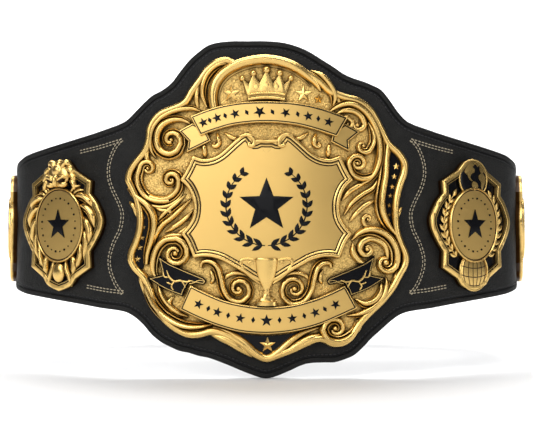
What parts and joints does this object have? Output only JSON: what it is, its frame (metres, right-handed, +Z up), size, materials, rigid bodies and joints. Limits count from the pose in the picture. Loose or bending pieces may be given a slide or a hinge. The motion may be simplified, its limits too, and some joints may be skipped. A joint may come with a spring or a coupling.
{
  "type": "championship title belt",
  "caption": "Wide shaped leather belt with a large ornate gilded front plate and smaller shield plates on its sides, snapped shut at the back as a closed loop.",
  "frame": {"origin": "centre of the waist hollow, at mid-height of the strap's sides, where the wearer's waist holds it", "axes": "+Z up, -Y towards the front of the belt, +X to the right as seen from the front"},
  "size_m": [0.5004, 0.3327, 0.278],
  "materials": {
    "gilt_plate": "gold-plated cast zinc, satin fields and polished edges",
    "black_enamel": "gloss black enamel fill",
    "strap_leather": "black grained cowhide, satin, stitched edge",
    "fastener_nickel": "nickel-plated snaps and screws"
  },
  "bodies": {
    "root": {"strap": "strap_leather", "main_plate_screw_1": "fastener_nickel", "main_plate_screw_2": "fastener_nickel", "main_plate_screw_3": "fastener_nickel", "main_plate_screw_4": "fastener_nickel", "side_plate_left_screw_1": "fastener_nickel", "side_plate_left_screw_2": "fastener_nickel", "side_plate_right_screw_1": "fastener_nickel", "side_plate_right_screw_2": "fastener_nickel", "outer_plate_left_screw_1": "fastener_nickel", "outer_plate_left_screw_2": "fastener_nickel", "outer_plate_right_screw_1": "fastener_nickel", "outer_plate_right_screw_2": "fastener_nickel", "snap_1": "fastener_nickel", "snap_2": "fastener_nickel", "snap_3": "fastener_nickel", "snap_4": "fastener_nickel", "main_plate": "gilt_plate", "centre_panel": "gilt_plate", "centre_emblem": "black_enamel", "upper_ribbon": "gilt_plate", "lower_ribbon": "gilt_plate", "ribbon_tail_left": "black_enamel", "ribbon_tail_right": "black_enamel", "crown": "gilt_plate", "trophy_cup": "gilt_plate", "field_star_left": "gilt_plate", "field_star_right": "gilt_plate", "field_star_small": "gilt_plate", "bottom_star": "gilt_plate", "bottom_enamel": "black_enamel", "enamel_strip_left": "black_enamel", "enamel_strip_right": "black_enamel", "side_plate_left": "gilt_plate", "medallion_left": "gilt_plate", "lion_head": "gilt_plate", "side_plate_right": "gilt_plate", "medallion_right": "gilt_plate", "side_enamel_right": "black_enamel", "globe_top": "gilt_plate", "globe_bottom": "gilt_plate", "laurel_left": "gilt_plate", "laurel_right": "gilt_plate", "outer_plate_left": "gilt_plate", "outer_medallion_left": "gilt_plate", "outer_plate_right": "gilt_plate", "outer_medallion_right": "gilt_plate"}
  },
  "joints": []
}
